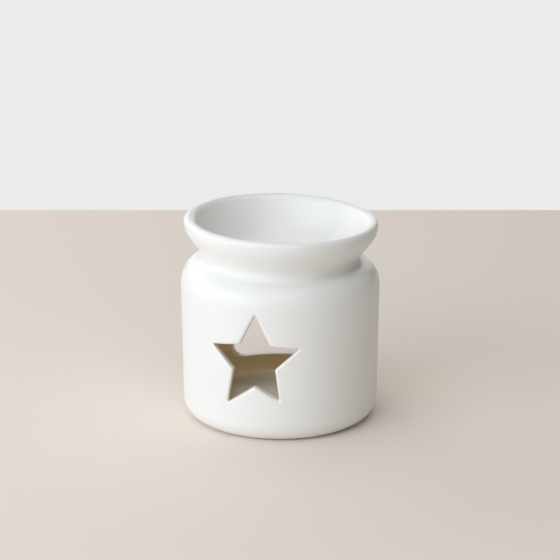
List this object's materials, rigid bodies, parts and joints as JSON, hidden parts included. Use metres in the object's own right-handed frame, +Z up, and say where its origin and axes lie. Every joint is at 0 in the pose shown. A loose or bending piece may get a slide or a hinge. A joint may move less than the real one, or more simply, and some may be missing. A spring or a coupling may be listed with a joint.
{
  "type": "tealight holder",
  "caption": "Round white glazed ceramic tealight holder with a star window, a rear candle opening and a flared melt dish on top.",
  "frame": {"origin": "centre of the foot ring, on the surface that the holder stands on", "axes": "+Z up along the pot's axis, -Y out through the star window, +Y out through the rear candle opening"},
  "size_m": [0.08, 0.08, 0.0829],
  "materials": {
    "white_glaze": "soft white glaze over slip-cast earthenware"
  },
  "bodies": {
    "root": {"chamber_pot": "white_glaze", "melt_dish": "white_glaze", "luting_seam": "white_glaze"}
  },
  "joints": []
}
